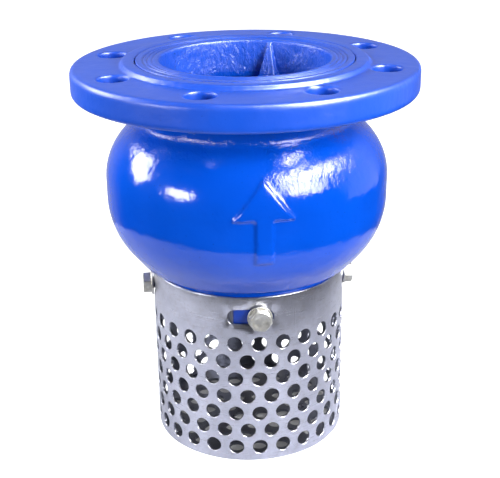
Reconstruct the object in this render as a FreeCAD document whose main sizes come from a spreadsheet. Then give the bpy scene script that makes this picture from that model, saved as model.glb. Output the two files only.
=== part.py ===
import FreeCAD, Part
import math
import os

import Sketcher

# Spring-loaded foot valve with a flanged outlet at the top and a perforated strainer at the
# bottom. +Z is the direction of flow. The origin is the centre of the strainer's lower rim, on
# the plane that the valve stands on. The four strainer bolts lie on the X and Y axes.

DIMENSIONS = [
    ("flange_diameter", 220, "outlet flange, outside"),
    ("flange_thickness", 17, "flange rim, without the raised face"),
    ("flange_rounding", 3, "round on the two edges of the flange rim"),
    ("bolt_circle", 180, "circle through the flange bolt holes"),
    ("bolt_hole", 19, "flange bolt hole"),
    ("raised_face_diameter", 156, "sealing face of the outlet flange"),
    ("raised_face_step", 3, "height of the sealing face above the rim"),
    ("counterbore_diameter", 139, "recess in the flange that takes the guide"),
    ("counterbore_depth", 12, "depth of that recess below the sealing face"),
    ("guide_clearance", 0.5, "gap all round between the guide and the body"),
    ("bore_diameter", 108.6, "clear passage through the guide"),
    ("throat_diameter", 121, "passage in the body's neck, around the guide's sleeve"),
    ("sleeve_length", 26, "sealing face to the lower end of the guide's sleeve"),
    ("neck_diameter", 138, "body neck under the flange, outside"),
    ("neck_rounding", 6, "fillets above and below the neck"),
    ("globe_diameter", 182.6, "widest part of the globe, outside"),
    ("shoulder_radius", 42, "section radius of the globe's upper part"),
    ("belly_radius", 52, "section radius of the globe's lower part"),
    ("belly_band", 13, "straight band between the two"),
    ("belly_height", 42.5, "underside of the globe to the straight band"),
    ("shoulder_height", 55.5, "straight band to the underside of the flange"),
    ("underside_angle", 39.4, "slope of the globe's underside from the vertical, degrees"),
    ("body_wall", 8, "wall of the globe"),
    ("globe_floor", 6, "thickness of the floor above the globe's underside"),
    ("inlet_bore", 97, "passage through the inlet neck of the body"),
    ("spigot_clearance", 0.4, "gap between the inlet neck and the strainer"),
    ("spigot_length", 13.5, "inlet neck below the globe's underside"),
    ("lug_width", 33, "width of the four lugs that take the strainer bolts"),
    ("lug_drop", 30.5, "lower end of the lugs below the globe's underside"),
    ("relief_height", 1.8, "height of the flow arrow above the globe"),
    ("arrow_shaft_width", 10, "shaft of the flow arrow"),
    ("arrow_head_width", 36, "head of the flow arrow"),
    ("arrow_head_length", 23, "head of the flow arrow, along the flow"),
    ("arrow_tail", 16, "lower end of the flow arrow below the globe's straight band"),
    ("edge_bevel", 1, "bevel on machined edges"),
    ("strainer_diameter", 128.8, "strainer, outside"),
    ("strainer_sheet", 1.8, "thickness of the strainer sheet"),
    ("strainer_height", 118, "height of the strainer"),
    ("collar_gap", 6.5, "strainer rim to the globe's underside"),
    ("perforation", 10, "hole in the strainer"),
    ("row_pitch", 12.6, "rows of strainer holes, centre to centre"),
    ("first_row", 10, "lowest row of holes above the lower rim"),
    ("column_angle", 14, "angle between neighbouring holes of a row"),
    ("column_phase", 4.8, "angle from the middle of a slot to the nearest hole of the first row"),
    ("strainer_turn", -5.2, "angle from a bolt to the middle of its slot"),
    ("slot_length", 30, "slot for a strainer bolt, end to end"),
    ("slot_width", 10, "slot for a strainer bolt"),
    ("slot_drop", 13.6, "strainer rim to the middle of the slot"),
    ("base_sheet", 2, "thickness of the perforated base"),
    ("base_inset", 1.5, "lower rim to the base"),
    ("base_pitch", 14.8, "holes of the base, centre to centre"),
    ("strainer_bolt", 8, "thread of the strainer bolts"),
    ("strainer_bolt_hex", 13, "across the flats of the strainer bolts"),
    ("strainer_bolt_head", 5.3, "height of the head of the strainer bolts"),
    ("strainer_bolt_length", 14, "strainer bolt under the head"),
    ("strainer_washer", 16, "washer of the strainer bolts, outside"),
    ("strainer_washer_sheet", 1.6, "thickness of that washer"),
    ("guide_turn", 156, "angle of the first guide arm from the front bolt"),
    ("rib_top_width", 2, "guide arm at the sealing face"),
    ("arm_width", 13, "guide arm below the sleeve"),
    ("rib_reach", 9.5, "guide arm inside the bore at the end of the sleeve"),
    ("rib_drop", 2, "sealing face to the top of a guide arm"),
    ("rib_root", 3, "height of a guide arm's root inside the sleeve"),
    ("arm_sweep", 14, "radial run of the curve at each end of a guide arm"),
    ("arm_rise", 4, "rise of a guide arm's lower edge over that run"),
    ("serration_width", 1, "width of the three grooves in the guide's face"),
    ("serration_depth", 0.6, "depth of those grooves"),
    ("guide_hub_length", 22, "guide hub above the spring's seat"),
    ("guide_hub_land", 12, "wide part of the guide hub"),
    ("hub_step", 2, "wide part of the guide hub outside the spring"),
    ("lower_hub_length", 11, "hub of the seat ring"),
    ("seat_bore", 88, "passage through the seat ring"),
    ("seat_flange", 117.4, "outside of the seat ring"),
    ("seat_recess_depth", 6, "recess for the seat ring in the globe's floor"),
    ("seat_flange_height", 9, "thickness of the seat ring's flange"),
    ("seat_lip_height", 3, "seat lip above the ring's flange"),
    ("seat_lip_width", 3.5, "width of the seat lip's face"),
    ("seat_skirt", 18, "skirt of the seat ring below its flange"),
    ("seat_clearance", 0.3, "gap between the seat ring and the body"),
    ("seat_arm", 6, "width of the seat ring's guide arms"),
    ("seat_screw", 4, "thread of the seat screws"),
    ("seat_screw_length", 13, "length of the seat screws"),
    ("o_ring", 2, "section of the seat ring's o-ring"),
    ("lift", 22, "travel of the disc"),
    ("disc_diameter", 106, "valve disc"),
    ("disc_bevel", 2, "bevel on the rim and the hub of the disc"),
    ("disc_hub_length", 10, "hub of the disc above the spring's foot"),
    ("disc_boss", 4, "raised middle of the disc under the spring"),
    ("disc_rim", 6, "thickness of the disc above its seal"),
    ("seal_thickness", 4, "rubber seal ring"),
    ("seal_width", 13, "radial width of the rubber seal ring"),
    ("seal_inset", 1.5, "edge of the seal inside the edge of the disc"),
    ("seal_cover", 0.6, "part of the seal's thickness that sits in the disc"),
    ("retainer_sheet", 3, "rim of the plate that holds the seal"),
    ("stem_diameter", 12, "stem"),
    ("stem_collar", 22, "collar of the stem"),
    ("stem_collar_height", 5, "height of that collar"),
    ("stem_overrun", 3, "stem past the bush at the end of its travel"),
    ("running_clearance", 0.05, "gap between the stem and a bush"),
    ("assembly_clearance", 0.05, "gap between parts that are pressed or screwed together"),
    ("bush_wall", 3, "wall of both bushes"),
    ("hub_wall", 6, "wall of the guide hubs around the bush"),
    ("spring_wire", 2.8, "wire of the spring"),
    ("spring_clearance", 1.5, "gap between the spring and the hub that it surrounds"),
    ("spring_length", 50, "length of the spring in the closed valve"),
    ("spring_turns", 7, "turns of the spring"),
    ("spring_washer_sheet", 1.2, "thickness of the spring's thrust washer"),
    ("nut_hex", 18, "across the flats of the stem nut"),
    ("nut_height", 6.5, "height of the stem nut"),
    ("lock_nut_height", 4.5, "height of the lock nut"),
    ("retainer_washer_sheet", 2, "washer under the stem nut"),
]

FLANGE_HOLES = 8
STRAINER_BOLTS = 4
SEAT_SCREWS = 4
GUIDE_ARMS = 3
ROWS = 7
COLUMNS = 24

doc = FreeCAD.newDocument("foot_valve")
sheet = doc.addObject("Spreadsheet::Sheet", "Dims")
for row, (alias, size, note) in enumerate(DIMENSIONS, start=1):
    sheet.set(f"A{row}", alias)
    sheet.set(f"B{row}", str(size))
    sheet.set(f"C{row}", note)
    sheet.setAlias(f"B{row}", alias)
doc.recompute()

X_AXIS = FreeCAD.Vector(1, 0, 0)
Y_AXIS = FreeCAD.Vector(0, 1, 0)
Z_AXIS = FreeCAD.Vector(0, 0, 1)
CENTRE = FreeCAD.Vector(0, 0, 0)

# Levels and radii that several sub-parts share, as expressions of the driving dimensions.

UNDERSIDE = "(Dims.strainer_height + Dims.collar_gap)"
BELLY = f"({UNDERSIDE} + Dims.belly_height)"
SHOULDER = f"({BELLY} + Dims.belly_band)"
FLANGE_BACK = f"({SHOULDER} + Dims.shoulder_height)"
FLANGE_TOP = f"({FLANGE_BACK} + Dims.flange_thickness)"
FACE = f"({FLANGE_TOP} + Dims.raised_face_step)"
COUNTERBORE_FLOOR = f"({FACE} - Dims.counterbore_depth)"
SLEEVE_END = f"({FACE} - Dims.sleeve_length)"

GLOBE = "(Dims.globe_diameter / 2)"
SHOULDER_CENTRE = f"({GLOBE} - Dims.shoulder_radius)"
BELLY_CENTRE = f"({GLOBE} - Dims.belly_radius)"
THROAT = "(Dims.throat_diameter / 2)"
BORE = "(Dims.bore_diameter / 2)"

STRAINER_OUTSIDE = "(Dims.strainer_diameter / 2)"
STRAINER_INSIDE = f"({STRAINER_OUTSIDE} - Dims.strainer_sheet)"
SPIGOT = f"({STRAINER_INSIDE} - Dims.spigot_clearance)"
INLET = "(Dims.inlet_bore / 2)"
BOLT_LEVEL = "(Dims.strainer_height - Dims.slot_drop)"

FLOOR = f"({UNDERSIDE} + Dims.globe_floor)"
SEAT_LEDGE = f"({FLOOR} - Dims.seat_recess_depth)"
SEAT_TOP = f"({SEAT_LEDGE} + Dims.seat_flange_height)"
SEAT_FACE = f"({SEAT_TOP} + Dims.seat_lip_height)"
SEAT_BORE = "(Dims.seat_bore / 2)"
SEAT_OUTSIDE = "(Dims.seat_flange / 2)"
SEAT_RECESS = f"({SEAT_OUTSIDE} + Dims.seat_clearance)"
SEAT_SKIRT = f"({INLET} - Dims.seat_clearance)"
SEAT_BOTTOM = f"({SEAT_LEDGE} - Dims.seat_skirt)"
LIP_OUTSIDE = f"({SEAT_BORE} + Dims.edge_bevel + Dims.seat_lip_width)"
GROOVE_BACK = f"({SEAT_RECESS} - Dims.o_ring - 0.1)"
GROOVE_FOOT = f"({SEAT_LEDGE} + 2)"
SCREW_CIRCLE = f"(({LIP_OUTSIDE} + {GROOVE_BACK}) / 2)"
SCREW_HEAD = "(Dims.seat_screw * 0.9)"
SCREW_SINK = "(Dims.seat_screw * 0.4)"

STEM = "(Dims.stem_diameter / 2)"
STEM_HOLE = f"({STEM} + Dims.running_clearance)"
STEM_FIT = f"({STEM} + Dims.assembly_clearance)"
BUSH = f"({STEM_HOLE} + Dims.bush_wall)"
BUSH_HOLE = f"({BUSH} + Dims.assembly_clearance)"
HUB = f"({BUSH} + Dims.hub_wall)"
SEAL_TOP = f"({SEAT_FACE} + Dims.seal_thickness)"
SEAL_OUTSIDE = "(Dims.disc_diameter / 2 - Dims.seal_inset)"
SEAL_INSIDE = f"({SEAL_OUTSIDE} - Dims.seal_width)"
RETAINER = f"({SEAT_BORE} - 1.5)"
RETAINER_BOTTOM = f"({SEAT_FACE} - Dims.retainer_sheet)"
DISC_TOP = f"({SEAL_TOP} + Dims.disc_rim)"
SPRING_FOOT = f"({DISC_TOP} + Dims.disc_boss)"
DISC_HUB_TOP = f"({SPRING_FOOT} + Dims.disc_hub_length)"
COLLAR_TOP = f"({DISC_HUB_TOP} + Dims.stem_collar_height)"
HUB_BOTTOM = f"({COLLAR_TOP} + Dims.lift + 0.2)"
SPRING_TOP = f"({SPRING_FOOT} + Dims.spring_length)"
HUB_SHOULDER = f"({SPRING_TOP} + Dims.spring_washer_sheet)"
HUB_TOP = f"({HUB_SHOULDER} + Dims.guide_hub_length)"
SPRING_INSIDE = f"({HUB} + Dims.spring_clearance)"
NUT_TOP = f"({RETAINER_BOTTOM} - Dims.retainer_washer_sheet)"
LOWER_HUB_TOP = f"({SEAT_BOTTOM} + Dims.lower_hub_length)"


def number(expression):
    """The value of an expression of the driving dimensions."""
    return float(sheet.evalExpression(expression))


def origin_feature(body, role):
    """One of the planes or axes of a body's own origin."""
    return next(item for item in body.Origin.OriginFeatures if item.Role == role)


def new_body(name):
    return doc.addObject("PartDesign::Body", name)


def new_sketch(body, name, plane="XZ_Plane", offset=None, turn=None):
    """A sketch on an origin plane, moved along the plane's normal or turned about its y axis."""
    sketch = body.newObject("Sketcher::SketchObject", name)
    sketch.AttachmentSupport = [(origin_feature(body, plane), "")]
    sketch.MapMode = "FlatFace"
    if offset:
        sketch.setExpression(".AttachmentOffset.Base.z", offset)
    if turn:
        sketch.AttachmentOffset = FreeCAD.Placement(CENTRE, FreeCAD.Rotation(Y_AXIS, 1))
        sketch.setExpression(".AttachmentOffset.Rotation.Angle", turn)
    return sketch


def bind(sketch, constraint, expression):
    """Add a constraint whose value follows an expression."""
    index = sketch.addConstraint(constraint)
    sketch.setExpression(f"Constraints[{index}]", expression)


def place_point(sketch, edge, end, across, up):
    """Hold one point of an edge at a pair of expressions."""
    if across == "0":
        sketch.addConstraint(Sketcher.Constraint("PointOnObject", edge, end, -2))
    else:
        distance = Sketcher.Constraint("DistanceX", -1, 1, edge, end, number(across))
        bind(sketch, distance, across)
    if up == "0":
        sketch.addConstraint(Sketcher.Constraint("PointOnObject", edge, end, -1))
    else:
        distance = Sketcher.Constraint("DistanceY", -1, 1, edge, end, number(up))
        bind(sketch, distance, up)


def arc_between(start, end, radius, centre_on_left):
    """The shorter arc from start to end, with its centre on the stated side."""
    chord = end - start
    middle = (start + end) * 0.5
    to_left = FreeCAD.Vector(-chord.y, chord.x, 0).normalize()
    height = math.sqrt(max(0.0, radius ** 2 - (chord.Length / 2) ** 2))
    centre = middle + to_left * (height if centre_on_left else -height)
    first, last = (start, end) if centre_on_left else (end, start)
    angles = [math.atan2(point.y - centre.y, point.x - centre.x) for point in (first, last)]
    if angles[1] < angles[0]:
        angles[1] += 2 * math.pi
    return Part.ArcOfCircle(Part.Circle(centre, Z_AXIS, radius), angles[0], angles[1])


def outline(sketch, corners):
    """Closed outline. A corner is (x, y), or (x, y, radius, side) if an arc arrives at it."""
    places = [FreeCAD.Vector(number(corner[0]), number(corner[1]), 0) for corner in corners]
    ends = []
    for index, corner in enumerate(corners):
        start = places[index - 1]
        end = places[index]
        if len(corner) == 2:
            sketch.addGeometry(Part.LineSegment(start, end))
            ends.append((1, 2))
        else:
            on_left = corner[3] == "left"
            sketch.addGeometry(arc_between(start, end, number(corner[2]), on_left))
            ends.append((1, 2) if on_left else (2, 1))
    for index, corner in enumerate(corners):
        following = (index + 1) % len(corners)
        joint = Sketcher.Constraint("Coincident", index, ends[index][1], following, ends[following][0])
        sketch.addConstraint(joint)
        place_point(sketch, index, ends[index][1], corner[0], corner[1])
        if len(corner) == 4:
            bind(sketch, Sketcher.Constraint("Radius", index, number(corner[2])), corner[2])


def circles(sketch, centres, radius):
    """Circles of one radius at pairs of expressions."""
    for across, up in centres:
        middle = FreeCAD.Vector(number(across), number(up), 0)
        index = sketch.addGeometry(Part.Circle(middle, Z_AXIS, number(radius)))
        place_point(sketch, index, 3, across, up)
        bind(sketch, Sketcher.Constraint("Radius", index, number(radius)), radius)


def turned(name, corners):
    """A body turned about the Z axis from a half section."""
    body = new_body(name)
    sketch = new_sketch(body, f"{name}_section")
    outline(sketch, corners)
    solid = body.newObject("PartDesign::Revolution", f"{name}_turned")
    solid.Profile = sketch
    solid.ReferenceAxis = (sketch, ["V_Axis"])
    solid.Angle = 360
    body.Tip = solid
    return body


def ring(name, inside, outside, bottom, top):
    """A plain turned ring."""
    return turned(name, [(inside, bottom), (outside, bottom), (outside, top), (inside, top)])


def cut(body, sketch, name, depth, backwards=False):
    """A pocket that has to take something away."""
    doc.recompute()
    before = body.Shape.Volume
    pocket = body.newObject("PartDesign::Pocket", name)
    pocket.Profile = sketch
    pocket.Reversed = backwards
    pocket.setExpression("Length", depth)
    body.Tip = pocket
    doc.recompute()
    if body.Shape.Volume > before - 1:
        raise RuntimeError(f"{name} takes nothing away")
    return pocket


def pad(body, sketch, name, height, backwards=False, both_ways=False):
    """A pad on a sketch."""
    solid = body.newObject("PartDesign::Pad", name)
    solid.Profile = sketch
    solid.Reversed = backwards
    solid.Midplane = both_ways
    solid.setExpression("Length", height)
    body.Tip = solid
    doc.recompute()
    return solid


def repeat(body, feature, name, count, angle="360"):
    """The feature repeated about the Z axis."""
    pattern = body.newObject("PartDesign::PolarPattern", name)
    pattern.Originals = [feature]
    pattern.Axis = (origin_feature(body, "Z_Axis"), [""])
    pattern.Occurrences = count
    pattern.setExpression("Angle", angle)
    body.Tip = pattern
    doc.recompute()


def primitive(kind, name, sizes, placement=None):
    """A Part primitive with its sizes bound to expressions."""
    solid = doc.addObject(f"Part::{kind}", name)
    for size, expression in sizes.items():
        solid.setExpression(size, expression)
    if placement:
        solid.Placement = placement
    return solid


def combine(kind, name, base, tool):
    """A Part boolean of two objects."""
    result = doc.addObject(f"Part::{kind}", name)
    result.Base = base
    result.Tool = tool
    return result


def fuse(name, pieces):
    result = doc.addObject("Part::MultiFuse", name)
    result.Shapes = pieces
    return result


def group(name, pieces):
    """Separate solids that share one node."""
    result = doc.addObject("Part::Compound", name)
    result.Links = pieces
    return result


def about_z(angle, move=CENTRE):
    """A move followed by a turn about the Z axis."""
    turn = FreeCAD.Placement(CENTRE, FreeCAD.Rotation(Z_AXIS, angle))
    return turn * FreeCAD.Placement(move, FreeCAD.Rotation())


# Body: one casting with the outlet flange, the globe, the inlet neck and four bolt lugs.

SHOULDER_INSIDE = "(Dims.shoulder_radius - Dims.body_wall)"
BELLY_INSIDE = "(Dims.belly_radius - Dims.body_wall)"
NECK = "(Dims.neck_diameter / 2)"
GLOBE_INSIDE = f"({GLOBE} - Dims.body_wall)"


def arc_level(radius, distance):
    """Height on the globe's shoulder arc at a distance from the valve's axis."""
    return f"({SHOULDER} + sqrt({radius}^2 - ({distance} - {SHOULDER_CENTRE})^2))"


def underside_point(radius, drop_to):
    """Where the belly arc ends in its tangent, and where that tangent reaches a level."""
    arc_x = f"({BELLY_CENTRE} + {radius} * cos(Dims.underside_angle))"
    arc_z = f"({BELLY} - {radius} * sin(Dims.underside_angle))"
    line_x = f"({arc_x} - ({arc_z} - {drop_to}) * tan(Dims.underside_angle))"
    return arc_x, arc_z, line_x


def casting():
    outer_x, outer_z, foot_x = underside_point("Dims.belly_radius", UNDERSIDE)
    inner_x, inner_z, floor_x = underside_point(BELLY_INSIDE, FLOOR)
    throat_foot = arc_level(SHOULDER_INSIDE, THROAT)
    spigot_end = f"{UNDERSIDE} - Dims.spigot_length"
    rim = "(Dims.flange_diameter / 2)"
    rim_round = "Dims.flange_rounding"
    raised = "(Dims.raised_face_diameter / 2)"
    step_round = "(Dims.raised_face_step / 3)"
    recess = "(Dims.counterbore_diameter / 2)"
    fillet = "Dims.neck_rounding"
    fillet_x = f"({NECK} + {fillet})"
    fillet_z = arc_level(f"(Dims.shoulder_radius + {fillet})", fillet_x)
    share = f"(Dims.shoulder_radius / (Dims.shoulder_radius + {fillet}))"
    shoulder_x = f"({SHOULDER_CENTRE} + ({fillet_x} - {SHOULDER_CENTRE}) * {share})"
    shoulder_z = f"({SHOULDER} + ({fillet_z} - {SHOULDER}) * {share})"
    body = turned("casting", [
        (INLET, spigot_end),
        (SPIGOT, spigot_end),
        (SPIGOT, UNDERSIDE),
        (foot_x, UNDERSIDE),
        (outer_x, outer_z),
        (GLOBE, BELLY, "Dims.belly_radius", "left"),
        (GLOBE, SHOULDER),
        (shoulder_x, shoulder_z, "Dims.shoulder_radius", "left"),
        (NECK, fillet_z, fillet, "right"),
        (NECK, f"{FLANGE_BACK} - {fillet}"),
        (fillet_x, FLANGE_BACK, fillet, "right"),
        (f"{rim} - {rim_round}", FLANGE_BACK),
        (rim, f"{FLANGE_BACK} + {rim_round}", rim_round, "left"),
        (rim, f"{FLANGE_TOP} - {rim_round}"),
        (f"{rim} - {rim_round}", FLANGE_TOP, rim_round, "left"),
        (f"{raised} + {step_round}", FLANGE_TOP),
        (raised, f"{FLANGE_TOP} + {step_round}", step_round, "right"),
        (raised, f"{FACE} - {step_round}"),
        (f"{raised} - {step_round}", FACE, step_round, "left"),
        (recess, FACE),
        (recess, COUNTERBORE_FLOOR),
        (THROAT, COUNTERBORE_FLOOR),
        (THROAT, throat_foot),
        (GLOBE_INSIDE, SHOULDER, SHOULDER_INSIDE, "right"),
        (GLOBE_INSIDE, BELLY),
        (inner_x, inner_z, BELLY_INSIDE, "right"),
        (floor_x, FLOOR),
        (SEAT_RECESS, FLOOR),
        (SEAT_RECESS, SEAT_LEDGE),
        (INLET, SEAT_LEDGE),
    ])

    half_step = 180 / FLANGE_HOLES
    hole_x = f"Dims.bolt_circle / 2 * cos({half_step})"
    hole_y = f"Dims.bolt_circle / 2 * sin({half_step})"
    sketch = new_sketch(body, "flange_hole", "XY_Plane", offset=f"{FLANGE_BACK} - 1")
    circles(sketch, [(hole_x, hole_y)], "Dims.bolt_hole / 2")
    hole = cut(body, sketch, "flange_hole_cut", "Dims.flange_thickness + 2", backwards=True)
    repeat(body, hole, "flange_holes", FLANGE_HOLES)

    half_lug = "Dims.lug_width / 2"
    lug_front = f"-sqrt({SPIGOT}^2 - ({half_lug})^2)"
    lug_back = f"-sqrt({INLET}^2 - ({half_lug})^2)"
    sketch = new_sketch(body, "lug", "XY_Plane", offset=f"{UNDERSIDE} - Dims.lug_drop")
    outline(sketch, [
        (f"-{half_lug}", lug_front),
        (half_lug, lug_front, SPIGOT, "left"),
        (half_lug, lug_back),
        (f"-{half_lug}", lug_back, INLET, "right"),
    ])
    lug = pad(body, sketch, "lug_pad", "Dims.lug_drop - 1")
    repeat(body, lug, "lugs", STRAINER_BOLTS)

    sketch = new_sketch(body, "lug_thread")
    circles(sketch, [("0", BOLT_LEVEL)], "Dims.strainer_bolt / 2 + Dims.assembly_clearance")
    thread = cut(body, sketch, "lug_thread_cut", SPIGOT + " + 5", backwards=True)
    repeat(body, thread, "lug_threads", STRAINER_BOLTS)

    on_circle = f"{SCREW_CIRCLE} * cos(45)"
    sketch = new_sketch(body, "seat_thread", "XY_Plane", offset=SEAT_LEDGE)
    circles(sketch, [(on_circle, on_circle)], "Dims.seat_screw / 2 + Dims.assembly_clearance")
    depth = "Dims.seat_screw_length - Dims.seat_flange_height + 2"
    thread = cut(body, sketch, "seat_thread_cut", depth)
    repeat(body, thread, "seat_threads", SEAT_SCREWS)
    return body




def relief_skin():
    """The globe's surface around the arrow, as a ring that reaches into the wall."""
    below = "20"
    above = "27"
    outer_belly = "(Dims.belly_radius + Dims.relief_height)"
    outer_shoulder = "(Dims.shoulder_radius + Dims.relief_height)"
    inner_belly = "(Dims.belly_radius - Dims.body_wall / 2)"
    inner_shoulder = "(Dims.shoulder_radius - Dims.body_wall / 2)"
    return turned("relief_skin", [
        (f"{BELLY_CENTRE} + sqrt({outer_belly}^2 - {below}^2)", f"{BELLY} - {below}"),
        (f"{GLOBE} + Dims.relief_height", BELLY, outer_belly, "left"),
        (f"{GLOBE} + Dims.relief_height", SHOULDER),
        (f"{SHOULDER_CENTRE} + sqrt({outer_shoulder}^2 - {above}^2)", f"{SHOULDER} + {above}",
         outer_shoulder, "left"),
        (f"{SHOULDER_CENTRE} + sqrt({inner_shoulder}^2 - {above}^2)", f"{SHOULDER} + {above}"),
        (f"{GLOBE} - Dims.body_wall / 2", SHOULDER, inner_shoulder, "right"),
        (f"{GLOBE} - Dims.body_wall / 2", BELLY),
        (f"{BELLY_CENTRE} + sqrt({inner_belly}^2 - {below}^2)", f"{BELLY} - {below}",
         inner_belly, "right"),
    ])


def flow_arrow():
    """Raised arrow on the front of the globe, pointing along the flow."""
    shaft = "(Dims.arrow_shaft_width / 2)"
    head = "(Dims.arrow_head_width / 2)"
    tail = f"({BELLY} - Dims.arrow_tail)"
    barb = f"({SHOULDER} - Dims.edge_bevel)"
    blank = new_body("arrow_blank")
    sketch = new_sketch(blank, "arrow_outline")
    outline(sketch, [
        (f"-{shaft}", tail),
        (shaft, tail),
        (shaft, barb),
        (head, barb),
        ("0", f"{barb} + Dims.arrow_head_length"),
        (f"-{head}", barb),
        (f"-{shaft}", barb),
    ])
    pad(blank, sketch, "arrow_pad", "Dims.globe_diameter")
    return combine("Common", "flow_arrow", relief_skin(), blank)


# Guide: a casting that drops into the flange and carries the upper end of the stem.

def guide():
    sleeve = f"({THROAT} - Dims.guide_clearance)"
    collar = "(Dims.counterbore_diameter / 2 - Dims.guide_clearance)"
    serration = "((Dims.counterbore_diameter - Dims.bore_diameter) / 12)"
    groove = "Dims.serration_width / 2"
    top = [(collar, FACE)]
    for step in (4, 3, 2):
        middle = f"({BORE} + {step} * {serration})"
        top += [
            (f"{middle} + {groove}", FACE),
            (middle, f"{FACE} - Dims.serration_depth"),
            (f"{middle} - {groove}", FACE),
        ]
    mouth = "(Dims.raised_face_step / 2)"
    shell = turned("guide_shell", [
        (sleeve, SLEEVE_END),
        (sleeve, COUNTERBORE_FLOOR),
        (collar, COUNTERBORE_FLOOR),
        *top,
        (f"{BORE} + {mouth}", FACE),
        (BORE, f"{FACE} - {mouth}", mouth, "left"),
        (BORE, f"{SLEEVE_END} + {mouth}"),
        (f"{BORE} + {mouth}", SLEEVE_END, mouth, "left"),
    ])
    wide_hub = f"({SPRING_INSIDE} + Dims.spring_wire + Dims.hub_step)"
    hub = turned("guide_hub", [
        (BUSH_HOLE, HUB_BOTTOM),
        (HUB, HUB_BOTTOM),
        (HUB, HUB_SHOULDER),
        (wide_hub, HUB_SHOULDER),
        (wide_hub, f"{HUB_SHOULDER} + Dims.guide_hub_land"),
        (HUB, HUB_TOP),
        (BUSH_HOLE, HUB_TOP),
    ])
    pieces = [shell, hub]
    wall_middle = f"(({BORE} + {sleeve}) / 2)"
    hub_skin = f"{HUB} - Dims.edge_bevel"
    arm_foot = f"{HUB_SHOULDER} + Dims.hub_step"
    for arm in range(GUIDE_ARMS):
        turn = number("Dims.guide_turn") + 180 + arm * 360 / GUIDE_ARMS
        upright = FreeCAD.Placement(CENTRE, FreeCAD.Rotation(FreeCAD.Vector(0, 1, 1), 180))
        lift = FreeCAD.Vector(0, 0, number(SLEEVE_END))
        rib = primitive("Wedge", f"rib_{arm}", {
            "Xmin": "-Dims.arm_width / 2",
            "Xmax": "Dims.arm_width / 2",
            "X2min": "-Dims.rib_top_width / 2",
            "X2max": "Dims.rib_top_width / 2",
            "Ymin": "0",
            "Ymax": "Dims.sleeve_length - Dims.rib_drop",
            "Zmin": f"{BORE} - Dims.rib_reach",
            "Zmax": wall_middle,
            "Z2min": f"{BORE} - Dims.edge_bevel",
            "Z2max": wall_middle,
        }, about_z(turn, lift) * upright)
        blade = new_body(f"arm_{arm}")
        sketch = new_sketch(blade, f"arm_side_{arm}", "YZ_Plane")
        outline(sketch, [
            (hub_skin, arm_foot),
            (f"{BORE} - Dims.arm_sweep", f"{arm_foot} + Dims.arm_rise"),
            (wall_middle, SLEEVE_END),
            (wall_middle, f"{SLEEVE_END} + Dims.rib_root"),
            (f"{BORE} - Dims.rib_reach", f"{SLEEVE_END} + Dims.rib_root"),
            (f"{HUB} + Dims.arm_sweep", f"{HUB_TOP} - Dims.edge_bevel"),
            (hub_skin, f"{HUB_TOP} - Dims.rib_root"),
        ])
        pad(blade, sketch, f"arm_pad_{arm}", "Dims.arm_width", both_ways=True)
        blade.Placement = about_z(turn)
        pieces += [rib, blade]
    return fuse("guide_spider", pieces)


def guide_bush():
    return ring("guide_bush", STEM_HOLE, BUSH, HUB_BOTTOM, HUB_TOP)


# Seat: a ring screwed to the globe's floor, with its own guide for the lower end of the stem.

def seat_ring():
    shell = turned("seat_shell", [
        (SEAT_BORE, SEAT_BOTTOM),
        (SEAT_SKIRT, SEAT_BOTTOM),
        (SEAT_SKIRT, SEAT_LEDGE),
        (SEAT_OUTSIDE, SEAT_LEDGE),
        (SEAT_OUTSIDE, GROOVE_FOOT),
        (GROOVE_BACK, GROOVE_FOOT),
        (GROOVE_BACK, f"{GROOVE_FOOT} + Dims.o_ring + 0.2"),
        (SEAT_OUTSIDE, f"{GROOVE_FOOT} + Dims.o_ring + 0.2"),
        (SEAT_OUTSIDE, SEAT_TOP),
        (LIP_OUTSIDE, SEAT_TOP),
        (LIP_OUTSIDE, SEAT_FACE),
        (f"{SEAT_BORE} + Dims.edge_bevel", SEAT_FACE),
        (SEAT_BORE, f"{SEAT_FACE} - Dims.edge_bevel"),
    ])
    hub = ring("seat_hub", BUSH_HOLE, HUB, SEAT_BOTTOM, LOWER_HUB_TOP)
    pieces = [shell, hub]
    for arm in range(GUIDE_ARMS):
        start = FreeCAD.Vector(number(f"{HUB} - 1"), -number("Dims.seat_arm / 2"), number(SEAT_BOTTOM))
        pieces.append(primitive("Box", f"seat_arm_{arm}", {
            "Length": f"{SEAT_BORE} - {HUB} + 2",
            "Width": "Dims.seat_arm",
            "Height": f"{LOWER_HUB_TOP} - {SEAT_BOTTOM} - 1",
        }, about_z(90 + arm * 360 / GUIDE_ARMS, start)))
    blank = fuse("seat_blank", pieces)
    holes = []
    for screw in range(SEAT_SCREWS):
        turn = 45 + screw * 360 / SEAT_SCREWS
        place = FreeCAD.Vector(number(SCREW_CIRCLE), 0, number(SEAT_LEDGE) - 1)
        sink = FreeCAD.Vector(number(SCREW_CIRCLE), 0, number(f"{SEAT_TOP} - {SCREW_SINK}"))
        holes.append(primitive("Cylinder", f"seat_hole_{screw}", {
            "Radius": "Dims.seat_screw / 2 + 0.2",
            "Height": "Dims.seat_flange_height + 2",
        }, about_z(turn, place)))
        holes.append(primitive("Cone", f"seat_sink_{screw}", {
            "Radius1": "Dims.seat_screw / 2",
            "Radius2": SCREW_HEAD,
            "Height": SCREW_SINK,
        }, about_z(turn, sink)))
    return combine("Cut", "seat_ring", blank, fuse("seat_holes", holes))


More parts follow.
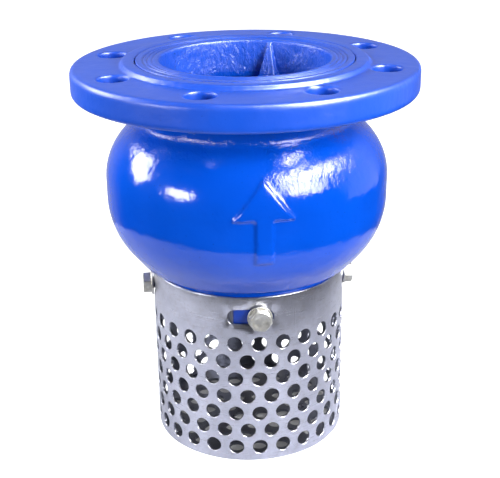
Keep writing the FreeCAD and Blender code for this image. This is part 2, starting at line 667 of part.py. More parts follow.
def seat_screws():
    screws = []
    for screw in range(SEAT_SCREWS):
        turn = 45 + screw * 360 / SEAT_SCREWS
        fit = "Dims.assembly_clearance"
        length = number("Dims.seat_screw_length")
        foot = FreeCAD.Vector(number(SCREW_CIRCLE), 0, number(SEAT_TOP) - length)
        head = FreeCAD.Vector(number(SCREW_CIRCLE), 0, number(f"{SEAT_TOP} - {SCREW_SINK}"))
        socket = FreeCAD.Vector(number(SCREW_CIRCLE), 0, number(f"{SEAT_TOP} - Dims.seat_screw / 3"))
        shank = primitive("Cylinder", f"screw_shank_{screw}", {
            "Radius": "Dims.seat_screw / 2",
            "Height": "Dims.seat_screw_length - 0.5",
        }, about_z(turn, foot))
        cone = primitive("Cone", f"screw_head_{screw}", {
            "Radius1": f"Dims.seat_screw / 2 - {fit}",
            "Radius2": f"{SCREW_HEAD} - {fit}",
            "Height": SCREW_SINK,
        }, about_z(turn, head))
        key = primitive("Prism", f"screw_socket_{screw}", {
            "Circumradius": "Dims.seat_screw / 3",
            "Height": "Dims.seat_screw",
        }, about_z(turn, socket))
        solid = fuse(f"screw_solid_{screw}", [shank, cone])
        screws.append(combine("Cut", f"seat_screw_{screw}", solid, key))
    return group("seat_screws", screws)


def seat_o_ring():
    torus = primitive("Torus", "seat_o_ring", {
        "Radius1": f"{SEAT_RECESS} - Dims.o_ring / 2 - 0.03",
        "Radius2": "Dims.o_ring / 2 - 0.02",
    })
    torus.Placement.Base.z = number(f"{GROOVE_FOOT} + 0.1 + Dims.o_ring / 2")
    return torus


def lower_bush():
    return ring("lower_bush", STEM_HOLE, BUSH, SEAT_BOTTOM, LOWER_HUB_TOP)


# Disc: everything that lifts off the seat, threaded onto one stem.

def valve_disc():
    rim = "(Dims.disc_diameter / 2)"
    return turned("valve_disc", [
        (STEM_FIT, SEAL_TOP),
        (SEAL_OUTSIDE, SEAL_TOP),
        (SEAL_OUTSIDE, f"{SEAL_TOP} - Dims.seal_thickness * Dims.seal_cover"),
        (rim, f"{SEAL_TOP} - Dims.seal_thickness * Dims.seal_cover"),
        (rim, f"{DISC_TOP} - Dims.disc_bevel"),
        (f"{rim} - Dims.disc_bevel", DISC_TOP),
        (f"{SPRING_INSIDE} + Dims.spring_wire + 8", DISC_TOP),
        (f"{SPRING_INSIDE} + Dims.spring_wire + 3", SPRING_FOOT),
        (HUB, SPRING_FOOT),
        (HUB, f"{DISC_HUB_TOP} - Dims.disc_bevel"),
        (f"{HUB} - Dims.disc_bevel", DISC_HUB_TOP),
        (STEM_FIT, DISC_HUB_TOP),
    ])


def disc_seal():
    outside = f"({SEAL_OUTSIDE} - Dims.assembly_clearance)"
    return ring("disc_seal", SEAL_INSIDE, outside, SEAT_FACE, SEAL_TOP)


def seal_retainer():
    boss = f"({SEAL_INSIDE} - Dims.assembly_clearance)"
    return turned("seal_retainer", [
        (STEM_FIT, RETAINER_BOTTOM),
        (f"{RETAINER} - Dims.edge_bevel", RETAINER_BOTTOM),
        (RETAINER, f"{RETAINER_BOTTOM} + Dims.edge_bevel"),
        (RETAINER, SEAT_FACE),
        (boss, SEAT_FACE),
        (boss, SEAL_TOP),
        (STEM_FIT, SEAL_TOP),
    ])


def retainer_washer():
    return ring("retainer_washer", STEM_FIT, "Dims.nut_hex / 2 + 3", NUT_TOP, RETAINER_BOTTOM)


def disc_stem():
    bottom = f"({SEAT_BOTTOM} - Dims.lift - Dims.stem_overrun)"
    top = f"({HUB_TOP} - 5)"
    return turned("disc_stem", [
        ("0", bottom),
        (f"{STEM} - Dims.edge_bevel", bottom),
        (STEM, f"{bottom} + Dims.edge_bevel"),
        (STEM, DISC_HUB_TOP),
        ("Dims.stem_collar / 2", DISC_HUB_TOP),
        ("Dims.stem_collar / 2", f"{COLLAR_TOP} - Dims.edge_bevel"),
        ("Dims.stem_collar / 2 - Dims.edge_bevel", COLLAR_TOP),
        (STEM, COLLAR_TOP),
        (STEM, f"{top} - Dims.edge_bevel"),
        (f"{STEM} - Dims.edge_bevel", top),
        ("0", top),
    ])


def hexagon(name, flats, height, bore, level):
    """A hexagon with chamfered corners and a hole along the Z axis."""
    at_level = FreeCAD.Placement(FreeCAD.Vector(0, 0, number(level)), FreeCAD.Rotation())
    corner = f"({flats} / 2 / cos(30))"
    prism = primitive("Prism", f"{name}_prism", {"Circumradius": corner, "Height": height}, at_level)
    bevel = f"({corner} - {flats} / 2) * 0.6"
    lens = turned(f"{name}_lens", [
        ("0", level),
        (f"{flats} / 2", level),
        (f"{corner} + 0.01", f"{level} + {bevel}"),
        (f"{corner} + 0.01", f"{level} + {height} - {bevel}"),
        (f"{flats} / 2", f"{level} + {height}"),
        ("0", f"{level} + {height}"),
    ])
    solid = combine("Common", f"{name}_solid", prism, lens)
    hole = primitive("Cylinder", f"{name}_hole", {"Radius": bore, "Height": height}, at_level)
    return combine("Cut", name, solid, hole)


def stem_nut():
    return hexagon("stem_nut", "Dims.nut_hex", "Dims.nut_height", STEM_FIT, f"({NUT_TOP} - Dims.nut_height)")


def stem_lock_nut():
    level = f"({NUT_TOP} - Dims.nut_height - Dims.lock_nut_height)"
    return hexagon("stem_lock_nut", "Dims.nut_hex", "Dims.lock_nut_height", STEM_FIT, level)


# Spring: between the disc and a thrust washer under the guide's hub, with ground ends.

def valve_spring():
    pitch = f"(Dims.spring_length / Dims.spring_turns)"
    middle = number(f"{SPRING_INSIDE} + Dims.spring_wire / 2")
    helix = primitive("Helix", "spring_line", {
        "Pitch": pitch,
        "Height": f"Dims.spring_length + {pitch}",
        "Radius": f"{SPRING_INSIDE} + Dims.spring_wire / 2",
    })
    helix.Placement.Base.z = number(f"{SPRING_FOOT} - {pitch} / 2")
    wire = primitive("Circle", "spring_wire_section", {"Radius": "Dims.spring_wire / 2"})
    start = FreeCAD.Vector(middle, 0, helix.Placement.Base.z)
    wire.Placement = FreeCAD.Placement(start, FreeCAD.Rotation(X_AXIS, 90))
    doc.recompute()
    coil = doc.addObject("Part::Sweep", "spring_coil")
    coil.Sections = [wire]
    coil.Spine = (helix, ["Edge1"])
    coil.Solid = True
    coil.Frenet = True
    ends = ring("spring_ends", f"{SPRING_INSIDE} - 1", f"{SPRING_INSIDE} + Dims.spring_wire + 1",
                SPRING_FOOT, SPRING_TOP)
    return combine("Common", "valve_spring", coil, ends)


def spring_washer():
    outside = f"({SPRING_INSIDE} + Dims.spring_wire + 1.5)"
    return ring("spring_washer", f"{HUB} + 0.3", outside, SPRING_TOP, HUB_SHOULDER)


# Strainer: a rolled perforated sheet with a welded seam, a perforated base and its fasteners.

def strainer_shell():
    """Rolled and perforated sheet. Every second row has one hole more, and none lies near the seam."""
    body = ring("strainer_shell", STRAINER_INSIDE, STRAINER_OUTSIDE, "0", "Dims.strainer_height")
    reach = f"{STRAINER_OUTSIDE} + 5"
    first_column = f"Dims.column_phase - {COLUMNS // 2 - 1} * Dims.column_angle"
    for start, shift, columns in ((0, "0", COLUMNS), (1, "Dims.column_angle / 2", COLUMNS + 1)):
        sketch = new_sketch(body, f"holes_{start}", turn=f"{first_column} - {shift}")
        rows = [("0", f"Dims.first_row + {row} * Dims.row_pitch") for row in range(start, ROWS, 2)]
        circles(sketch, rows, "Dims.perforation / 2")
        holes = cut(body, sketch, f"column_{start}", reach, backwards=True)
        repeat(body, holes, f"columns_{start}", columns, f"{columns - 1} * Dims.column_angle")
    sketch = new_sketch(body, "slot")
    half_width = "Dims.slot_width / 2"
    straight = f"(Dims.slot_length / 2 - {half_width})"
    low = f"{BOLT_LEVEL} - {half_width}"
    high = f"{BOLT_LEVEL} + {half_width}"
    tip = "(Dims.slot_length / 2)"
    outline(sketch, [
        (straight, low),
        (tip, BOLT_LEVEL, half_width, "left"),
        (straight, high, half_width, "left"),
        (f"-{straight}", high),
        (f"-{tip}", BOLT_LEVEL, half_width, "left"),
        (f"-{straight}", low, half_width, "left"),
    ])
    slot = cut(body, sketch, "slot_cut", reach, backwards=True)
    repeat(body, slot, "slots", STRAINER_BOLTS)
    body.Placement.Rotation = FreeCAD.Rotation(Z_AXIS, number("Dims.strainer_turn"))
    return body


def strainer_base():
    plate_edge = f"({STRAINER_INSIDE} - Dims.assembly_clearance)"
    level = FreeCAD.Placement(FreeCAD.Vector(0, 0, number("Dims.base_inset")), FreeCAD.Rotation())
    plate = primitive("Cylinder", "base_plate", {"Radius": plate_edge, "Height": "Dims.base_sheet"}, level)
    pitch = number("Dims.base_pitch")
    limit = number(f"{plate_edge} - Dims.perforation / 2 - 3")
    count = int(limit / pitch) + 1
    holes = []
    for row in range(-count, count + 1):
        for column in range(-count, count + 1):
            place = FreeCAD.Vector((column + row / 2) * pitch, row * pitch * math.sqrt(0.75), 0)
            if place.Length > limit:
                continue
            holes.append(primitive("Cylinder", f"base_hole_{len(holes)}", {
                "Radius": "Dims.perforation / 2",
                "Height": "Dims.base_inset + Dims.base_sheet + 1",
            }, FreeCAD.Placement(place, FreeCAD.Rotation())))
    return combine("Cut", "strainer_base", plate, group("base_holes", holes))


def strainer_fasteners():
    """The bolts and their washers, each group a node of its own."""
    outward = FreeCAD.Placement(CENTRE, FreeCAD.Rotation(X_AXIS, 90))
    level = FreeCAD.Vector(0, 0, number(BOLT_LEVEL))
    washer_seat = number(STRAINER_OUTSIDE)
    head_seat = number(f"{STRAINER_OUTSIDE} + Dims.strainer_washer_sheet")
    bolts = []
    washers = []
    for bolt in range(STRAINER_BOLTS):
        placement = about_z(bolt * 360 / STRAINER_BOLTS, level) * outward
        washer_place = FreeCAD.Placement(FreeCAD.Vector(0, 0, washer_seat), FreeCAD.Rotation())
        head_place = FreeCAD.Placement(FreeCAD.Vector(0, 0, head_seat), FreeCAD.Rotation(Z_AXIS, 20))
        shank_place = FreeCAD.Vector(0, 0, number(f"{head_seat} - Dims.strainer_bolt_length"))
        disc = primitive("Cylinder", f"washer_disc_{bolt}", {
            "Radius": "Dims.strainer_washer / 2",
            "Height": "Dims.strainer_washer_sheet",
        }, placement * washer_place)
        hole = primitive("Cylinder", f"washer_hole_{bolt}", {
            "Radius": "Dims.strainer_bolt / 2 + 0.2",
            "Height": "Dims.strainer_washer_sheet",
        }, placement * washer_place)
        washers.append(combine("Cut", f"washer_{bolt}", disc, hole))
        corner = "(Dims.strainer_bolt_hex / 2 / cos(30))"
        head = primitive("Prism", f"bolt_hexagon_{bolt}", {
            "Circumradius": corner,
            "Height": "Dims.strainer_bolt_head",
        }, placement * head_place)
        crown = primitive("Cone", f"bolt_crown_{bolt}", {
            "Radius1": f"{corner} + Dims.strainer_bolt_head * 1.6 - 0.9",
            "Radius2": f"{corner} - 0.9",
            "Height": "Dims.strainer_bolt_head",
        }, placement * head_place)
        shank = primitive("Cylinder", f"bolt_shank_{bolt}", {
            "Radius": "Dims.strainer_bolt / 2",
            "Height": "Dims.strainer_bolt_length + 1",
        }, placement * FreeCAD.Placement(shank_place, FreeCAD.Rotation()))
        chamfered = combine("Common", f"bolt_head_{bolt}", head, crown)
        bolts.append(fuse(f"bolt_{bolt}", [chamfered, shank]))
    return group("strainer_bolts", bolts), group("strainer_washers", washers)


bolts, washers = strainer_fasteners()
sub_parts = {
    "valve_body": fuse("valve_body", [casting(), flow_arrow()]),
    "guide_spider": guide(),
    "guide_bush": guide_bush(),
    "seat_ring": seat_ring(),
    "seat_screws": seat_screws(),
    "seat_o_ring": seat_o_ring(),
    "lower_bush": lower_bush(),
    "valve_disc": valve_disc(),
    "disc_seal": disc_seal(),
    "seal_retainer": seal_retainer(),
    "retainer_washer": retainer_washer(),
    "disc_stem": disc_stem(),
    "stem_nut": stem_nut(),
    "stem_lock_nut": stem_lock_nut(),
    "valve_spring": valve_spring(),
    "spring_washer": spring_washer(),
    "strainer_shell": strainer_shell(),
    "strainer_base": strainer_base(),
    "strainer_bolts": bolts,
    "strainer_washers": washers,
}
doc.recompute()

for item in doc.Objects:
    if "Invalid" in item.State or "Error" in item.State:
        raise RuntimeError(f"{item.Label} failed: {item.State}")
for label, item in sub_parts.items():
    item.Label = label
    if item.Shape.isNull() or not item.Shape.isValid():
        raise RuntimeError(f"{label} has no valid shape")

os.makedirs("parts", exist_ok=True)
for label, item in sub_parts.items():
    item.Shape.exportStep(f"parts/{label}.step")
    print(label, len(item.Shape.Solids), round(item.Shape.Volume), item.Shape.BoundBox)
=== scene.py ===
# Looks of the foot valve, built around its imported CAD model. Metres, +Z up, flow upward.
import math

import bmesh
import bpy
from mathutils import Matrix, Vector, noise
from mathutils.geometry import delaunay_2d_cdt

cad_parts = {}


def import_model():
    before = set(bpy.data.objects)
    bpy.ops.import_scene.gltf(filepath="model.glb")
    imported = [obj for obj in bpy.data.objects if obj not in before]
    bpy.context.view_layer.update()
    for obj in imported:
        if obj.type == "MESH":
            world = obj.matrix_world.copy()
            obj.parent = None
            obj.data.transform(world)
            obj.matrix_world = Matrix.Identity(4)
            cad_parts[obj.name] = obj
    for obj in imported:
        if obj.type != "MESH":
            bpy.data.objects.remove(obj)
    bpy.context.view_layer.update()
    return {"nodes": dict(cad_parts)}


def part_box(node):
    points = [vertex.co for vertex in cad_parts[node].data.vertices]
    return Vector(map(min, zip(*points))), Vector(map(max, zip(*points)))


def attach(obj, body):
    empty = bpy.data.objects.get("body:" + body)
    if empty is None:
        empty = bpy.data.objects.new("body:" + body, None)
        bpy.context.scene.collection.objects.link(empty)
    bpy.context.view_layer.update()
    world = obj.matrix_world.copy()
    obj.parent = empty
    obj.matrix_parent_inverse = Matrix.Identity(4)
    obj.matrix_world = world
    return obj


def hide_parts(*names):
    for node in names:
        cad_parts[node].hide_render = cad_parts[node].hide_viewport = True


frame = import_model()

MM = 0.001

# Levels and radii read from the frame. FACE is the flange's sealing face.

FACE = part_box("valve_body")[1].z
SHELL_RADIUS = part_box("strainer_shell")[1].x
SHELL_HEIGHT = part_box("strainer_shell")[1].z
WASHER_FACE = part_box("strainer_washers")[1].x
BOLT_LOW, BOLT_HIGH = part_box("strainer_bolts")
BOLT_LEVEL = (BOLT_LOW.z + BOLT_HIGH.z) / 2

# The flange's underside, and the levels from which the globe's top and its right shoulder are brushed.

FLANGE_BACK = FACE - 20 * MM
BRUSHED_TOP = FACE - 50.5 * MM
BRUSHED_SHOULDER = FACE - 69.5 * MM

# The strainer's weld seam, as an angle from -Y towards +X.

SEAM = math.radians(186.6)


def towards(azimuth, elevation):
    """A direction from the object. Azimuth 0 is towards -Y and 90 towards +X, in degrees."""
    a, e = math.radians(azimuth), math.radians(elevation)
    return Vector((math.sin(a) * math.cos(e), -math.cos(a) * math.cos(e), math.sin(e)))


# Node helpers for the materials.

class Material:
    """A Principled material with short calls for its nodes."""

    def __init__(self, name, **sockets):
        self.data = bpy.data.materials.new(name)
        self.data.use_nodes = True
        self.tree = self.data.node_tree
        self.shader = next(n for n in self.tree.nodes if n.type == "BSDF_PRINCIPLED")
        self.place = self.add("ShaderNodeTexCoord").outputs["Object"]
        for socket, value in sockets.items():
            self.shader.inputs[socket.replace("_", " ")].default_value = value

    def add(self, kind, **settings):
        node = self.tree.nodes.new(kind)
        for key, value in settings.items():
            setattr(node, key, value)
        return node

    def link(self, output, target):
        self.tree.links.new(output, target)

    def drive(self, socket, output):
        """Feeds one of the shader's own sockets."""
        self.link(output, self.shader.inputs[socket])

    def stretch(self, factors):
        """The object's coordinates, multiplied axis by axis."""
        mapping = self.add("ShaderNodeMapping")
        mapping.inputs["Scale"].default_value = factors
        self.link(self.place, mapping.inputs["Vector"])
        return mapping.outputs["Vector"]

    def noise(self, scale, detail=3.0, roughness=0.55, where=None, distortion=0.0):
        node = self.add("ShaderNodeTexNoise")
        node.inputs["Scale"].default_value = scale
        node.inputs["Detail"].default_value = detail
        node.inputs["Roughness"].default_value = roughness
        node.inputs["Distortion"].default_value = distortion
        self.link(where or self.place, node.inputs["Vector"])
        return node.outputs["Fac"]

    def cells(self, scale):
        node = self.add("ShaderNodeTexVoronoi")
        node.inputs["Scale"].default_value = scale
        self.link(self.place, node.inputs["Vector"])
        return node.outputs["Distance"]

    def ramp(self, value, low, high, out_low=0.0, out_high=1.0):
        node = self.add("ShaderNodeMapRange")
        for socket, setting in zip(
            ("From Min", "From Max", "To Min", "To Max"), (low, high, out_low, out_high)
        ):
            node.inputs[socket].default_value = setting
        self.link(value, node.inputs["Value"])
        return node.outputs["Result"]

    def axis(self, letter):
        node = self.add("ShaderNodeSeparateXYZ")
        self.link(self.place, node.inputs[0])
        return node.outputs[letter]

    def distance(self, where, point):
        """Distance in metres from coordinates to a point."""
        node = self.add("ShaderNodeVectorMath", operation="DISTANCE")
        self.link(where, node.inputs[0])
        node.inputs[1].default_value = point
        return node.outputs["Value"]

    def near(self, point, inner, outer):
        """One within inner metres of a point of the object, falling to zero at outer."""
        return self.ramp(self.distance(self.place, point), outer, inner)

    def math(self, operation, first, *others):
        """One operation on two or more values, from left to right."""
        result = first
        for other in others:
            node = self.add("ShaderNodeMath", operation=operation)
            for socket, value in zip(node.inputs, (result, other)):
                if isinstance(value, (int, float)):
                    socket.default_value = value
                else:
                    self.link(value, socket)
            result = node.outputs[0]
        return result

    def product(self, *values):
        return self.math("MULTIPLY", *values)

    def total(self, *values):
        return self.math("ADD", *values)

    def largest(self, *values):
        return self.math("MAXIMUM", *values)

    def blend(self, factor, first, second):
        """A mix of two colours."""
        node = self.add("ShaderNodeMix", data_type="RGBA")
        self.link(factor, node.inputs["Factor"])
        for socket, value in zip(node.inputs[6:8], (first, second)):
            if isinstance(value, tuple):
                socket.default_value = value
            else:
                self.link(value, socket)
        return node.outputs[2]

    def bump(self, *heights):
        """Bumps from (height, distance in metres) pairs, one over the other."""
        normal = None
        for height, distance in heights:
            node = self.add("ShaderNodeBump")
            node.inputs["Distance"].default_value = distance
            self.link(height, node.inputs["Height"])
            if normal:
                self.link(normal, node.inputs["Normal"])
            normal = node.outputs["Normal"]
        self.drive("Normal", normal)


def rgb(red, green, blue):
    """A colour from 0 to 255 in sRGB, as the linear values a shader takes."""
    values = [channel / 255 for channel in (red, green, blue)]
    linear = [v / 12.92 if v <= 0.04045 else ((v + 0.055) / 1.055) ** 2.4 for v in values]
    return (*linear, 1.0)


# Materials, one for each finish in the record.

def brushed_places(m):
    """Where the coat was brushed on: the right shoulder, all round the globe's top, and the bore."""
    above = m.ramp(m.axis("Z"), BRUSHED_SHOULDER, BRUSHED_SHOULDER + 14 * MM)
    below = m.ramp(m.axis("Z"), FLANGE_BACK - 3.5 * MM, FLANGE_BACK - 11.5 * MM)
    beside = m.ramp(m.axis("X"), -12 * MM, 12 * MM)
    ahead = m.ramp(m.axis("Y"), 0.0, -30 * MM)
    shoulder = m.product(above, below, beside, ahead, 0.45)
    top = m.product(m.ramp(m.axis("Z"), BRUSHED_TOP, BRUSHED_TOP + 8 * MM), below, 0.5)
    bore = m.near((0, 0, FACE - 30 * MM), 60 * MM, 66 * MM)
    return m.largest(shoulder, top, bore)


def epoxy():
    """Blue epoxy over rough cast iron: glossy, slightly wavy, brushed on in places, with painted shade
    inside the strainer.
    """
    m = Material("blue_epoxy_coat", IOR=1.52)
    # Inside the strainer the blue is painted darker, as painted shade under the shell, and it is rougher
    # there.
    painted_shade_in_strainer = m.ramp(m.axis("Z"), SHELL_HEIGHT, SHELL_HEIGHT - 1 * MM)
    colour = m.blend(m.ramp(m.noise(14, 4), 0.35, 0.68), rgb(1, 63, 172), rgb(2, 70, 184))
    colour = m.blend(painted_shade_in_strainer, colour, rgb(1, 46, 136))
    grime_place = (52 * MM, -50 * MM, FLANGE_BACK - 8.5 * MM)
    grime = m.product(m.ramp(m.noise(620, 5, 0.7), 0.47, 0.56), m.near(grime_place, 4 * MM, 17 * MM), 0.9)
    colour = m.blend(grime, colour, rgb(64, 42, 50))
    specks = m.ramp(m.noise(900, 2, 0.4), 0.735, 0.76)
    m.drive("Base Color", m.blend(specks, colour, rgb(1, 40, 120)))
    gloss = m.ramp(m.noise(55, 4), 0.3, 0.75, 0.08, 0.17)
    matt_flange = m.ramp(m.axis("Z"), FLANGE_BACK - 4 * MM, FLANGE_BACK, 0.0, 0.25)
    m.drive("Roughness", m.total(gloss, matt_flange, m.product(painted_shade_in_strainer, 0.2)))
    strokes = m.noise(330, 5, 0.6, where=m.stretch((1.0, 0.8, 0.5)), distortion=1.3)
    m.bump(
        (m.noise(150, 2, 0.5), 0.22 * MM),
        (m.noise(480, 2, 0.5), 0.05 * MM),
        (m.product(strokes, brushed_places(m)), 0.9 * MM),
    )
    return m.data


def sheet_steel():
    """Rolled stainless sheet: clouded and scratched, tinted at its weld seam, and painted darker on its
    inner face as painted shade.
    """
    m = Material("rolled_sheet", Metallic=1.0)
    cloud = m.ramp(m.noise(16, 5, 0.6), 0.32, 0.72)
    stain = m.product(m.ramp(m.noise(95, 6, 0.7), 0.35, 0.78), 0.3)
    colour = m.blend(cloud, rgb(182, 183, 195), rgb(220, 221, 233))
    colour = m.blend(stain, colour, rgb(132, 134, 142))
    plan = m.stretch((1, 1, 0))
    from_seam = m.distance(plan, towards(math.degrees(SEAM), 0) * SHELL_RADIUS)
    heat = m.total(m.ramp(from_seam, 7 * MM, 2 * MM), m.ramp(m.noise(400, 3), 0.4, 0.6, -0.3, 0.1))
    colour = m.blend(heat, colour, rgb(150, 132, 112))
    from_axis = m.distance(plan, (0, 0, 0))
    # The inner face is painted darker, as painted shade inside the strainer.
    inside = m.ramp(from_axis, SHELL_RADIUS - 0.8 * MM, SHELL_RADIUS - 1.2 * MM)
    m.drive("Base Color", m.blend(inside, colour, rgb(118, 120, 130)))
    grain = m.noise(1.0, 4, 0.65, where=m.stretch((45, 45, 2600)))
    scratches = m.noise(1.0, 2, 0.5, where=m.stretch((500, 500, 60)), distortion=2.0)
    m.drive("Roughness", m.ramp(grain, 0.25, 0.75, 0.25, 0.35))
    m.bump((grain, 0.01 * MM), (m.noise(70, 3), 0.3 * MM), (m.ramp(scratches, 0.66, 0.72), 0.04 * MM))
    return m.data


def turned_metal(name, light, dark, roughness):
    """A machined metal with fine turning lines and a slight tarnish."""
    m = Material(name, Metallic=1.0)
    m.drive("Base Color", m.blend(m.ramp(m.noise(120, 5, 0.65), 0.3, 0.75), light, dark))
    lines = m.noise(1.0, 3, 0.6, where=m.stretch((60, 60, 2400)))
    m.drive("Roughness", m.ramp(lines, 0.3, 0.7, roughness - 0.07, roughness + 0.09))
    m.bump((lines, 0.03 * MM), (m.noise(300, 3), 0.06 * MM))
    return m.data


def zinc():
    """Zinc plate on the bolts and washers, whitish and mottled, with a trace of yellow passivation."""
    m = Material("zinc_plate", Metallic=1.0)
    colour = m.blend(m.ramp(m.cells(520), 0.0, 0.75), rgb(204, 203, 196), rgb(182, 181, 178))
    yellow = m.product(m.ramp(m.noise(260, 4, 0.6), 0.5, 0.8), 0.4)
    colour = m.blend(yellow, colour, rgb(196, 184, 142))
    spots = m.product(m.ramp(m.noise(900, 3, 0.6), 0.66, 0.74), 0.7)
    m.drive("Base Color", m.blend(spots, colour, rgb(82, 80, 76)))
    m.drive("Roughness", m.ramp(m.noise(500, 4), 0.3, 0.75, 0.36, 0.52))
    m.bump((m.noise(900, 3, 0.6), 0.06 * MM), (m.noise(2600, 2), 0.02 * MM))
    return m.data


def rubber():
    """Black moulded rubber with a fine matt skin and a dusty bloom."""
    m = Material("black_rubber", IOR=1.5)
    bloom = m.ramp(m.noise(180, 5, 0.65), 0.42, 0.8)
    m.drive("Base Color", m.blend(bloom, rgb(22, 22, 24), rgb(46, 46, 49)))
    m.drive("Roughness", m.ramp(m.noise(350, 4), 0.3, 0.75, 0.5, 0.72))
    m.bump((m.noise(1900, 2), 0.04 * MM))
    return m.data


def spring_wire():
    """Drawn and coiled spring wire, with fine die lines and a slight heat tint."""
    m = Material("spring_wire", Metallic=1.0)
    tint = m.ramp(m.noise(90, 4), 0.35, 0.7)
    m.drive("Base Color", m.blend(tint, rgb(176, 172, 166), rgb(150, 142, 130)))
    lines = m.noise(1.0, 3, where=m.stretch((260, 260, 4200)))
    m.drive("Roughness", m.ramp(lines, 0.3, 0.7, 0.22, 0.4))
    m.bump((lines, 0.02 * MM))
    return m.data


FINISHES = {
    "blue_epoxy": epoxy(),
    "strainer_sheet": sheet_steel(),
    "stainless": turned_metal("machined_stainless", rgb(196, 197, 200), rgb(168, 168, 170), 0.27),
    "bronze": turned_metal("machined_bronze", rgb(214, 160, 96), rgb(168, 116, 66), 0.3),
    "rubber": rubber(),
    "zinc_plated": zinc(),
    "spring_steel": spring_wire(),
}


# Mesh helpers.

def piece_from(name, verts, faces):
    mesh = bpy.data.meshes.new(name)
    mesh.from_pydata(verts, [], faces)
    mesh.validate()
    piece = bpy.data.objects.new(name, mesh)
    bpy.context.scene.collection.objects.link(piece)
    return piece


def dress(piece, body, slot, *nodes):
    """Puts a finished piece on its body, with its finish, in place of its CAD nodes."""
    piece.data.materials.clear()
    piece.data.materials.append(FINISHES[slot])
    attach(piece, body)
    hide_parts(*nodes)


def settle(piece):
    """Applies the piece's modifiers."""
    graph = bpy.context.evaluated_depsgraph_get()
    mesh = bpy.data.meshes.new_from_object(piece.evaluated_get(graph))
    mesh.name = piece.name
    piece.modifiers.clear()
    piece.data = mesh


def weld(mesh):
    """Joins vertices in the same place, and turns all faces outward."""
    bm = bmesh.new()
    bm.from_mesh(mesh)
    bmesh.ops.remove_doubles(bm, verts=bm.verts, dist=0.01 * MM)
    bmesh.ops.recalc_face_normals(bm, faces=bm.faces)
    bm.to_mesh(mesh)
    bm.free()


def smooth(piece, crease=180):
    """Smooth shading, with edges sharper than crease degrees left sharp."""
    for face in piece.data.polygons:
        face.use_smooth = True
    if crease < 180:
        piece.data.set_sharp_from_angle(angle=math.radians(crease))


class Skin:
    """Vertices and faces of a surface that is built up loop by loop."""

    def __init__(self):
        self.verts, self.faces = [], []

    def loop(self, places):
        """Adds vertices and returns their numbers."""
        first = len(self.verts)
        self.verts += places
        return list(range(first, len(self.verts)))

    def join(self, one, two, closed=True):
        """Quads between two loops of the same length."""
        for i in range(len(one) if closed else len(one) - 1):
            j = (i + 1) % len(one)
            self.faces.append((one[i], one[j], two[j], two[i]))


# The two blue castings.

def coated(name, node, voxel, rounding, lumps, roughness_at):
    """A casting under its coat: soft edges, and a skin that waves where the casting is rough."""
    piece = bpy.data.objects.new(name, frame["nodes"][node].data.copy())
    bpy.context.scene.collection.objects.link(piece)
    weld(piece.data)
    skin = piece.modifiers.new("skin", "REMESH")
    skin.mode = "VOXEL"
    skin.voxel_size = voxel
    skin.use_smooth_shade = True
    soft = piece.modifiers.new("soft_edges", "SMOOTH")
    soft.iterations = rounding
    settle(piece)
    rough = piece.vertex_groups.new(name="rough")
    for vertex in piece.data.vertices:
        rough.add([vertex.index], roughness_at(vertex.co), "REPLACE")
    for number, (width, height) in enumerate(lumps):
        texture = bpy.data.textures.new(f"{name}_lumps_{number}", "CLOUDS")
        texture.noise_scale = width
        texture.noise_depth = 1
        wave = piece.modifiers.new("lumps", "DISPLACE")
        wave.texture = texture
        wave.strength = height
        wave.vertex_group = "rough"
    settle(piece)
    piece.vertex_groups.clear()
    return piece


# How far the cast roughness takes to fade in: below the flange, below the guide's face, and
# outside the circle round the hub that stays smooth.

BODY_FADE, GUIDE_FADE, HUB_FADE = 8 * MM, 6 * MM, 6 * MM
SMOOTH_CIRCLE = 18 * MM


def body_roughness(point):
    """As cast on the globe, machined on the flange."""
    below_flange = (FLANGE_BACK - point.z) / BODY_FADE
    return min(1.0, max(0.2, below_flange))


def guide_roughness(point):
    """As cast in the bore, machined on the sealing face and on the hub that carries the stem."""
    below_face = (FACE - point.z) / GUIDE_FADE
    outside_hub = (math.hypot(point.x, point.y) - SMOOTH_CIRCLE) / HUB_FADE
    return min(1.0, max(0.1, below_face), max(0.0, outside_hub))


# Turned grooves in the guide's sealing face: their radii, and the width and depth of each.

GROOVES = (58.6 * MM, 61.4 * MM, 64.2 * MM)
GROOVE_WIDTH, GROOVE_DEPTH = 0.62 * MM, 0.8 * MM
GROOVED = FACE - 2.5 * MM


def groove_depth(radius):
    """How deep the grooves are at a distance from the axis."""
    return sum(GROOVE_DEPTH * math.exp(-((radius - groove) / GROOVE_WIDTH) ** 2) for groove in GROOVES)


def sink_grooves(piece):
    """Sinks the grooves into the part of a piece above the GROOVED level."""
    for vertex in piece.data.vertices:
        place = vertex.co
        if place.z >= GROOVED:
            place.z -= groove_depth(math.hypot(place.x, place.y))


# Size of the meshes of the castings, and their lumps as (width, height).

BODY_VOXEL = 1.0 * MM
BODY_LUMPS = [(30 * MM, 0.35 * MM), (11 * MM, 0.16 * MM), (4 * MM, 0.05 * MM)]
GUIDE_VOXEL = BODY_VOXEL / 2
GUIDE_LUMPS = [(14 * MM, 0.9 * MM), (5 * MM, 0.3 * MM)]

casting = coated("valve_body_casting", "valve_body", BODY_VOXEL, 4, BODY_LUMPS, body_roughness)
dress(casting, "body", "blue_epoxy", "valve_body")
guide = coated("guide_insert_casting", "guide_spider", GUIDE_VOXEL, 3, GUIDE_LUMPS, guide_roughness)
sink_grooves(guide)
dress(guide, "body", "blue_epoxy", "guide_spider")


# Strainer: a rolled sheet, worked out flat and then bent round. Angles run from -Y towards +X.
# SHEET is its thickness and HOLE a radius. SLOT_HALF is half the height of a slot, and SLOT_END
# is from its middle to its end.

